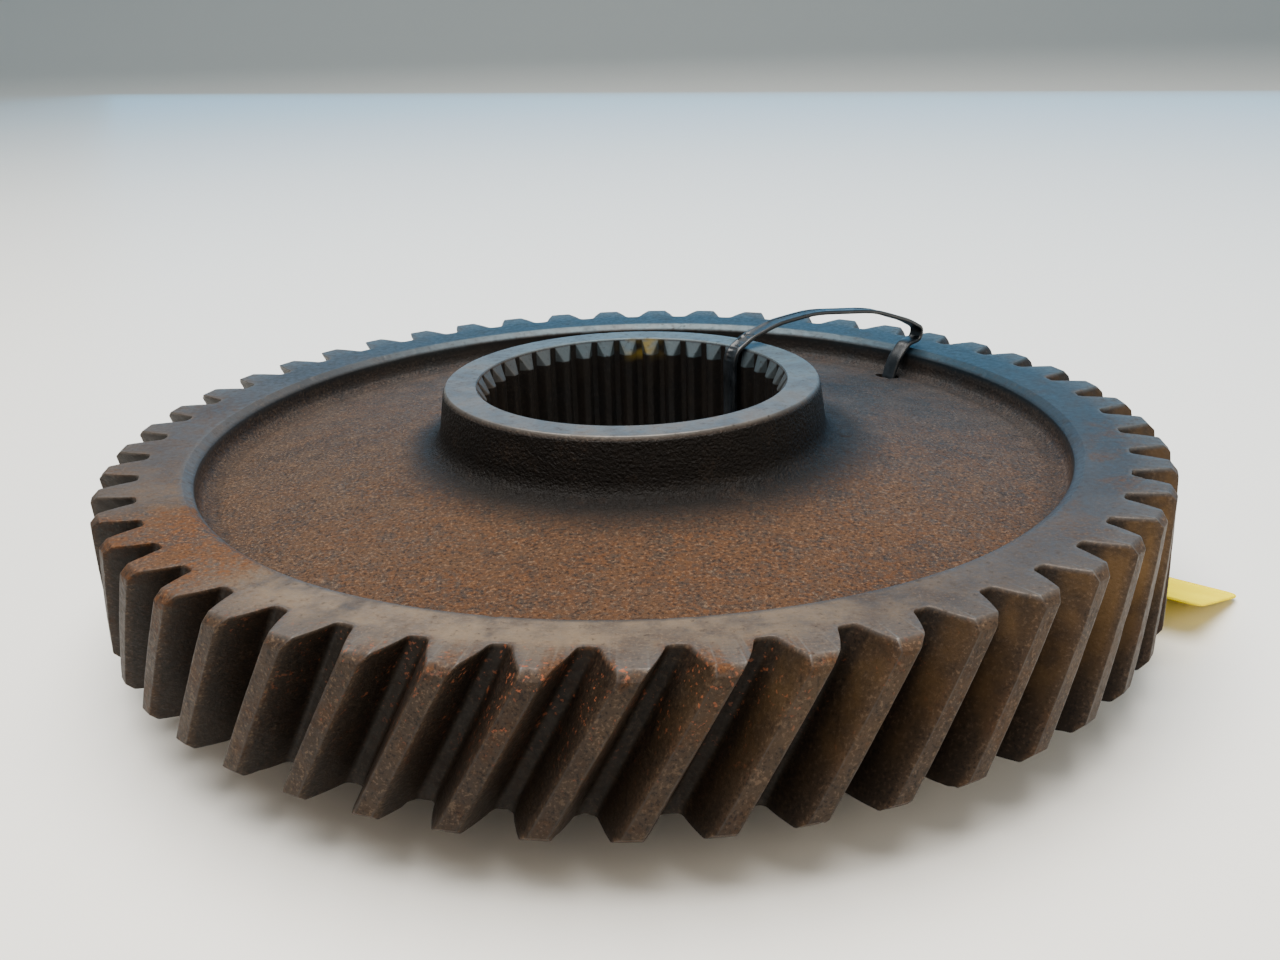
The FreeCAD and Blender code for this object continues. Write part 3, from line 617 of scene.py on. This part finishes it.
def steel_material():
    mat, nt, bsdf = new_material("forged_steel_worn")
    g = Net(nt)
    pos = g.node("ShaderNodeTexCoord").outputs["Object"]
    machined_and_highlight, rust, dark = g.split("zone_a")
    cool, flank, pale_and_highlight = g.split("zone_b")
    grain_amount, grease, glitter = g.split("zone_c")
    warm = g.node("ShaderNodeAttribute", attribute_name="zone_d", attribute_type="GEOMETRY").outputs["Fac"]
    big = g.noise(pos, 22.0, 3.0)
    mid = g.noise(pos, 110.0, 5.0, 0.6)
    fine = g.noise(pos, 620.0, 5.0, 0.65)
    grit = g.noise(pos, 1500.0, 3.0, 0.7)
    speck = g.voronoi(pos, 420.0)
    # forged skin, grainy like coarse sandpaper
    sand = g.noise(pos, 1250.0, 2.0, 0.6)
    skin = g.mix(g.span(big, 0.38, 0.62), (0.034, 0.0205, 0.0125), (0.046, 0.028, 0.0165))
    skin = g.mix(g.span(mid, 0.42, 0.66, 0.0, 0.8), skin, (0.060, 0.036, 0.020))
    skin = g.mix(g.span(sand, 0.54, 0.66, 0.0, 0.85), skin, (0.010, 0.0065, 0.0045))
    skin = g.mix(g.span(sand, 0.34, 0.44, 0.75, 0.0), skin, (0.125, 0.080, 0.048))
    # Painted blue reflection of the backdrop on the skin towards the back.
    bluish = g.mix(g.span(mid, 0.3, 0.7), (0.019, 0.024, 0.029), (0.034, 0.040, 0.045))
    bluish = g.mix(g.span(sand, 0.54, 0.66, 0.0, 0.6), bluish, (0.009, 0.009, 0.010))
    bluish = g.mix(g.span(sand, 0.34, 0.42, 0.5, 0.0), bluish, (0.080, 0.078, 0.075))
    skin = g.mix(g.math("MULTIPLY", cool, 0.8), skin, bluish)
    # rust
    rust_col = g.mix(g.span(fine, 0.3, 0.7), (0.040, 0.0135, 0.0045), (0.115, 0.043, 0.0135))
    rust_col = g.mix(g.span(mid, 0.3, 0.75, 0.0, 0.8), rust_col, (0.062, 0.030, 0.013))
    rust_col = g.mix(g.span(sand, 0.55, 0.66, 0.0, 0.8), rust_col, (0.016, 0.008, 0.005))
    rust_col = g.mix(g.span(sand, 0.34, 0.42, 0.7, 0.0), rust_col, (0.155, 0.078, 0.038))
    rust_fac = g.math("MULTIPLY", rust, g.span(g.math("ADD", g.math("MULTIPLY", mid, 0.5), g.math("MULTIPLY", fine, 0.5)), 0.36, 0.58), clamp=True)
    col = g.mix(rust_fac, skin, rust_col)
    # machined and rubbed metal, with a painted warm highlight on the rim's front left, a painted blue reflection
    # towards the back, and pale machined faces with painted highlights
    metal = g.mix(g.span(big, 0.3, 0.7), (0.040, 0.031, 0.026), (0.066, 0.055, 0.048))
    metal = g.mix(g.math("MULTIPLY", warm, 0.9), metal, g.mix(g.span(mid, 0.35, 0.65), (0.125, 0.079, 0.042), (0.235, 0.155, 0.082)))
    metal = g.mix(g.math("MULTIPLY", cool, 0.95), metal, (0.0075, 0.031, 0.050))
    pale = g.mix(g.math("MULTIPLY", cool, 0.8), (0.128, 0.117, 0.106), (0.095, 0.140, 0.160))
    pale = g.mix(g.span(mid, 0.38, 0.66, 0.0, 0.6), pale, (0.070, 0.064, 0.060))
    metal = g.mix(pale_and_highlight, metal, pale)
    metal = g.mix(g.span(fine, 0.56, 0.74, 0.0, 0.8), metal, (0.016, 0.011, 0.008))
    machined_and_highlight_fac = g.math("MULTIPLY", machined_and_highlight, g.span(mid, 0.30, 0.52, 0.62, 1.0), clamp=True)
    machined_and_highlight_fac = g.math("MULTIPLY", machined_and_highlight_fac, g.math("SUBTRACT", 1.0, g.math("MULTIPLY", rust_fac, 0.85)), clamp=True)
    col = g.mix(machined_and_highlight_fac, col, metal)
    # painted shade and dark oil, with a painted amber sheen on the flanks facing front right
    shade_oil_col = g.mix(g.span(mid, 0.3, 0.7), (0.0010, 0.0008, 0.0007), (0.0062, 0.0040, 0.0026))
    amber = g.mix(g.span(big, 0.35, 0.7), (0.050, 0.026, 0.009), (0.115, 0.062, 0.019))
    shade_oil_col = g.mix(g.math("MULTIPLY", flank, g.span(mid, 0.30, 0.58, 0.35, 1.0)), shade_oil_col, amber)
    shade_oil_fac = g.math("MULTIPLY", dark, g.span(mid, 0.25, 0.55, 0.78, 1.0), clamp=True)
    col = g.mix(shade_oil_fac, col, shade_oil_col)
    col = g.mix(g.math("MULTIPLY", grease, 0.9), col, (0.130, 0.092, 0.012))
    chips = g.math("MULTIPLY", g.span(g.noise(pos, 900.0, 2.0, 0.6), 0.60, 0.68), g.span(mid, 0.44, 0.56))
    col = g.mix(g.math("MULTIPLY", glitter, chips), col, (0.200, 0.060, 0.025))
    # dark specks and pits
    col = g.mix(g.math("MULTIPLY", g.span(speck, 0.05, 0.16, 0.5, 0.0), g.span(mid, 0.5, 0.65)), col, (0.006, 0.004, 0.003))
    nt.links.new(col, bsdf.inputs["Base Color"])
    metallic = g.math("MULTIPLY", machined_and_highlight_fac, g.mixf(warm, 0.6, 0.15))
    nt.links.new(metallic, bsdf.inputs["Metallic"])
    rough = g.mixf(machined_and_highlight_fac, 0.60, 0.42)
    rough = g.mixf(rust_fac, rough, 0.86)
    rough = g.mixf(shade_oil_fac, rough, 0.56)
    rough = g.math("ADD", rough, g.span(fine, 0.3, 0.7, -0.07, 0.09), clamp=True)
    nt.links.new(rough, bsdf.inputs["Roughness"])
    height = g.math("ADD", g.math("MULTIPLY", fine, 0.6), g.math("MULTIPLY", mid, 0.8))
    height = g.math("ADD", height, g.math("MULTIPLY", sand, -1.1))
    height = g.math("ADD", height, g.math("MULTIPLY", grit, 0.3))
    height = g.math("MULTIPLY", height, g.mixf(machined_and_highlight_fac, 1.0, 0.35))
    height = g.math("MULTIPLY", height, g.math("MAXIMUM", grain_amount, 0.1))
    nt.links.new(g.bump(height, 0.9, 0.0008), bsdf.inputs["Normal"])
    bsdf.inputs["Specular IOR Level"].default_value = 0.16
    return mat


def nylon_material():
    mat, nt, bsdf = new_material("black_nylon_strap")
    g = Net(nt)
    pos = g.node("ShaderNodeTexCoord").outputs["Object"]
    mid = g.noise(pos, 260.0, 4.0)
    fine = g.noise(pos, 1400.0, 3.0)
    col = g.mix(g.span(mid, 0.35, 0.7), (0.004, 0.005, 0.006), (0.010, 0.013, 0.017))
    col = g.mix(g.span(fine, 0.6, 0.75, 0.0, 0.5), col, (0.03, 0.033, 0.036))
    nt.links.new(col, bsdf.inputs["Base Color"])
    nt.links.new(g.span(mid, 0.3, 0.7, 0.26, 0.42), bsdf.inputs["Roughness"])
    nt.links.new(g.bump(g.math("ADD", mid, g.math("MULTIPLY", fine, 0.4)), 0.25, 0.0002), bsdf.inputs["Normal"])
    return mat


def yellow_material():
    mat, nt, bsdf = new_material("yellow_sheet_plastic")
    g = Net(nt)
    pos = g.node("ShaderNodeTexCoord").outputs["Object"]
    mid = g.noise(pos, 60.0, 4.0)
    fine = g.noise(pos, 900.0, 3.0)
    col = g.mix(g.span(mid, 0.3, 0.7), (0.86, 0.66, 0.0), (0.95, 0.76, 0.0))
    col = g.mix(g.span(fine, 0.63, 0.8, 0.0, 0.5), col, (0.60, 0.42, 0.0))
    nt.links.new(col, bsdf.inputs["Base Color"])
    nt.links.new(g.span(mid, 0.3, 0.7, 0.6, 0.75), bsdf.inputs["Roughness"])
    nt.links.new(g.bump(g.math("ADD", mid, g.math("MULTIPLY", fine, 0.3)), 0.2, 0.0002), bsdf.inputs["Normal"])
    bsdf.inputs["Specular IOR Level"].default_value = 0.0
    return mat


gear.data.materials.append(steel_material())

# ------------------------------------------------------------------ cable tie
ROUTE = [
    (118.0, 6.5, 0.0), (95.0, 6.5, 30.0), (58.0, 1.0, 30.0), (38.0, 1.0, 3.2), (38.0, 66.5, 5.0),
    (45.6, 69.9, 14.0), (56.5, 72.2, 40.0), (73.0, 72.5, 60.0), (101.0, 68.2, 60.0), (118.4, 61.9, 40.0),
    (125.2, 58.2, 2.2), (124.2, 54.6, 2.2), (118.5, 54.0, 4.0), (113.5, 49.6, 9.0), (110.6, 43.4, 12.0),
    (109.9, 30.0, 60.0), (108.5, 11.5, 0.0),
]
line = round_poly(ROUTE, 0.65)
TIE_AZ = rad(40.0)


def tie_place(r, y, z):
    c, s = math.cos(TIE_AZ), math.sin(TIE_AZ)
    return np.stack([r * c - y * s, r * s + y * c, z], -1)


tangent = np.gradient(line, axis=0)
tangent /= np.linalg.norm(tangent, axis=1)[:, None]
left = np.stack([-tangent[:, 1], tangent[:, 0]], 1)
arc = np.concatenate([[0], np.cumsum(np.linalg.norm(np.diff(line, axis=0), axis=1))])
W, T = 2.4, 0.625
ring_shape = []
for cx, cy, a0 in ((W - 0.32, T - 0.32, 0), (-(W - 0.32), T - 0.32, 90), (-(W - 0.32), -(T - 0.32), 180), (W - 0.32, -(T - 0.32), 270)):
    for k in range(4):
        a = rad(a0 + 30 * k)
        ring_shape.append((cx + 0.32 * math.cos(a), cy + 0.32 * math.sin(a)))
    if a0 == 0:
        ring_shape += [(1.5, T), (1.3, T), (0.0, T), (-1.3, T), (-1.5, T)]
    if a0 == 180:
        ring_shape += [(-1.0, -T), (1.0, -T)]
ring_shape = np.array(ring_shape)
ladder = (np.abs(ring_shape[:, 0]) <= 1.31) & (ring_shape[:, 1] > T - 0.01)
tv, tf = [], []
for i in range(len(line)):
    off = ring_shape[:, 1].copy()
    saw = (arc[i] / 1.3) % 1.0
    off[ladder] -= 0.34 * saw * (8.0 < arc[i] < arc[-1] - 22.0)
    r = line[i, 0] + left[i, 0] * off
    z = line[i, 1] + left[i, 1] * off
    tv.append(tie_place(r, ring_shape[:, 0], z))
K = len(ring_shape)
for i in range(len(line) - 1):
    for j in range(K):
        k = (j + 1) % K
        tf.append((i * K + j, i * K + k, (i + 1) * K + k, (i + 1) * K + j))
tf.append(tuple(range(K - 1, -1, -1)))
tf.append(tuple((len(line) - 1) * K + j for j in range(K)))
tie = make_mesh("cable_tie_strap", np.concatenate(tv), tf, None, 40.0)
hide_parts("cable_tie")
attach(tie, "tie")

nylon = nylon_material()
tie.data.materials.append(nylon)


def rounded_block(cx, cy, cz, sx, sy, sz, edge, n=3):
    """Vertices and faces of a block with rounded edges (a squashed cube sphere)."""
    import itertools

    verts, faces_ = [], []
    steps = 5

    def side(axis, sign):
        u, v = [a for a in range(3) if a != axis]
        base = len(verts)
        coords = sorted(set([-1.0, 1.0] + [k / steps * 2 - 1 for k in range(steps + 1)]))
        m = len(coords)
        for a in coords:
            for b in coords:
                p = [0.0, 0.0, 0.0]
                p[axis], p[u], p[v] = sign, a, b
                verts.append(p)
        for i in range(m - 1):
            for j in range(m - 1):
                q = [base + i * m + j, base + (i + 1) * m + j, base + (i + 1) * m + j + 1, base + i * m + j + 1]
                faces_.append(tuple(q if (sign > 0) == (axis != 1) else reversed(q)))

    for axis, sign in itertools.product(range(3), (-1.0, 1.0)):
        side(axis, sign)
    P = np.array(verts) * np.array([sx, sy, sz]) / 2
    inner = np.clip(P, -(np.array([sx, sy, sz]) / 2 - edge), np.array([sx, sy, sz]) / 2 - edge)
    # push the points beyond the inner box out onto the rounding
    d = P - inner
    ln = np.linalg.norm(d, axis=1)
    P = inner + d / np.maximum(ln, 1e-9)[:, None] * edge
    P[ln < 1e-9] = inner[ln < 1e-9]
    return P + np.array([cx, cy, cz]), faces_


hv, hf = rounded_block(108.5, 0.0, 3.9 + 4.3, 5.4, 8.4, 8.6, 0.9)
hv = tie_place(hv[:, 0], hv[:, 1], hv[:, 2])
head = make_mesh("cable_tie_head", hv, hf, None, 40.0)
w = head.modifiers.new("weld", "WELD")
w.merge_threshold = 0.00002
head.data.materials.append(nylon)
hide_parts("cable_tie")
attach(head, "tie")

# ------------------------------------------------------------------------ tag
L0, L1, HW, CORNER, EYE, TH = -12.0, 124.0, 17.5, 4.0, 5.5, 0.8


def tag_outline():
    pts = []
    for cx, cy, a0 in ((L1 - CORNER, HW - CORNER, 0), (L0 + CORNER, HW - CORNER, 90), (L0 + CORNER, -HW + CORNER, 180), (L1 - CORNER, -HW + CORNER, 270)):
        for k in range(7):
            a = rad(a0 + 15 * k)
            pts.append((cx + CORNER * math.cos(a), cy + CORNER * math.sin(a)))
    out = []
    for i in range(len(pts)):
        p, q = np.array(pts[i]), np.array(pts[(i + 1) % len(pts)])
        n = max(1, int(np.linalg.norm(q - p) / 2.0))
        for k in range(n):
            out.append(p + (q - p) * k / n)
    return np.array(out)


outline = tag_outline()
TM = len(outline)
# From the eyelet's rim outward in rings that turn from a circle into the outline.
ang = np.unwrap(np.arctan2(outline[:, 1], outline[:, 0]))
circle = np.stack([np.cos(ang), np.sin(ang)], 1)
tag_rows = []


def tag_height(p):
    """Zero height for every point: the sheet stays flat."""
    return 0.0 * p[:, 0]


def tag_ring(xy, z):
    return np.concatenate([xy, (np.zeros(len(xy)) + z)[:, None]], 1)


h = TH / 2
collar = 0.32
up = []
up.append(tag_ring(circle * EYE, 0.0))
up.append(tag_ring(circle * EYE, h * 0.6))
up.append(tag_ring(circle * (EYE + 0.12), h * 0.9))
up.append(tag_ring(circle * (EYE + 0.4), h))
up.append(tag_ring(circle * (EYE + 1.6), h))
up.append(tag_ring(circle * (EYE + 1.8), h - 0.09))
for k in (0.1, 0.25, 0.45, 0.7, 0.9, 0.97):
    inner_line = circle * (EYE + 1.9)
    up.append(tag_ring(inner_line + (outline - inner_line) * k, h - 0.09))
shrink = outline.copy()
norm = outline - np.stack([np.clip(outline[:, 0], L0 + CORNER, L1 - CORNER), np.clip(outline[:, 1], -HW + CORNER, HW - CORNER)], 1)
norm /= np.linalg.norm(norm, axis=1)[:, None]
up.append(tag_ring(outline - norm * 0.5, h - 0.02))
up.append(tag_ring(outline - norm * 0.2, h))
up.append(tag_ring(outline - norm * 0.05, h * 0.75))
up.append(tag_ring(outline, h * 0.3))
down = [u * np.array([1, 1, -1]) for u in reversed(up)]
tag_grid = up + down[:-1]
TV = np.concatenate(tag_grid)
tagf = []
rows_n = len(tag_grid)
for i in range(rows_n):
    for j in range(TM):
        k = (j + 1) % TM
        n2 = (i + 1) % rows_n
        tagf.append((i * TM + j, n2 * TM + j, n2 * TM + k, i * TM + k))
rot = Matrix.Rotation(rad(-41.3), 3, "Z") @ Matrix.Rotation(rad(-16.0), 3, "X")
TV = TV @ np.array(rot).T + np.array([87.6 * math.cos(TIE_AZ), 87.6 * math.sin(TIE_AZ), 5.43])
tag = make_mesh("id_tag_sheet", TV, tagf, None, 50.0)
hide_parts("id_tag")
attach(tag, "tag")
tag.data.materials.append(yellow_material())

# ---------------------------------------------------------------- floor, light
floor_mesh = bpy.data.meshes.new("floor")
sweep = [(-6.0, 0.0), (2.6, 0.0)]
for k in range(1, 13):
    t = rad(90.0) * k / 12
    sweep.append((2.6 + 1.4 * math.sin(t), 1.4 * (1 - math.cos(t))))
sweep.append((4.0, 5.0))
fv = [(x, y, z) for y, z in sweep for x in (-7.0, 7.0)]
floor_mesh.from_pydata(fv, [], [(2 * i, 2 * i + 1, 2 * i + 3, 2 * i + 2) for i in range(len(sweep) - 1)])
floor_mesh.shade_smooth()
floor = bpy.data.objects.new("floor", floor_mesh)
bpy.context.scene.collection.objects.link(floor)
floor.location.z = -0.0002
mat, nt, bsdf = new_material("pale_floor")
bsdf.inputs["Base Color"].default_value = (0.86, 0.835, 0.775, 1)
bsdf.inputs["Roughness"].default_value = 0.38
floor_mesh.materials.append(mat)

world = bpy.data.worlds.new("studio")
bpy.context.scene.world = world
world.use_nodes = True
wn = world.node_tree
bg = wn.nodes["Background"]
bg.inputs["Color"].default_value = (0.62, 0.84, 1.0, 1)
bg.inputs["Strength"].default_value = 0.32


def area(name, loc, target, size, energy, colour):
    light = bpy.data.lights.new(name, "AREA")
    light.shape = "RECTANGLE"
    light.size, light.size_y = size
    light.energy = energy
    light.color = colour
    ob = bpy.data.objects.new(name, light)
    bpy.context.scene.collection.objects.link(ob)
    ob.location = loc
    ob.rotation_mode = "QUATERNION"
    ob.rotation_quaternion = (Vector(target) - Vector(loc)).to_track_quat("-Z", "Y")
    return ob


area("key_above", (-0.1, 0.02, 1.35), (0, 0.0, 0), (1.5, 1.2), 62.0, (1.0, 0.975, 0.94))
area("back_cool", (0.45, 1.45, 0.50), (0, 0, 0.03), (2.8, 1.0), 12.0, (0.06, 0.44, 0.85))
area("front_fill", (-0.55, -0.9, 0.65), (0, 0, 0.02), (1.2, 0.9), 3.6, (1.0, 0.70, 0.42))
area("right_warm", (0.95, -0.45, 0.42), (0.1, -0.08, 0.03), (0.6, 0.5), 4.5, (1.0, 0.86, 0.68))

# -------------------------------------------------------------------- camera
yaw, pitch, roll = 0.00413, 0.3546, -0.02905
fwd = Vector((math.sin(yaw) * math.cos(pitch), math.cos(yaw) * math.cos(pitch), -math.sin(pitch)))
right = Vector((math.cos(yaw), -math.sin(yaw), 0.0))
up_v = right.cross(fwd)
r2 = right * math.cos(roll) + up_v * math.sin(roll)
u2 = -right * math.sin(roll) + up_v * math.cos(roll)
cam_data = bpy.data.cameras.new("camera")
cam_data.sensor_fit = "HORIZONTAL"
cam_data.sensor_width = 36.0
cam_data.lens = 39.025
cam_data.clip_start, cam_data.clip_end = 0.02, 20.0
cam = bpy.data.objects.new("camera", cam_data)
bpy.context.scene.collection.objects.link(cam)
m = Matrix((r2, u2, -fwd)).transposed().to_4x4()
m.translation = Vector((0.0, -0.36988, 0.17355))
cam.matrix_world = m
bpy.context.scene.camera = cam
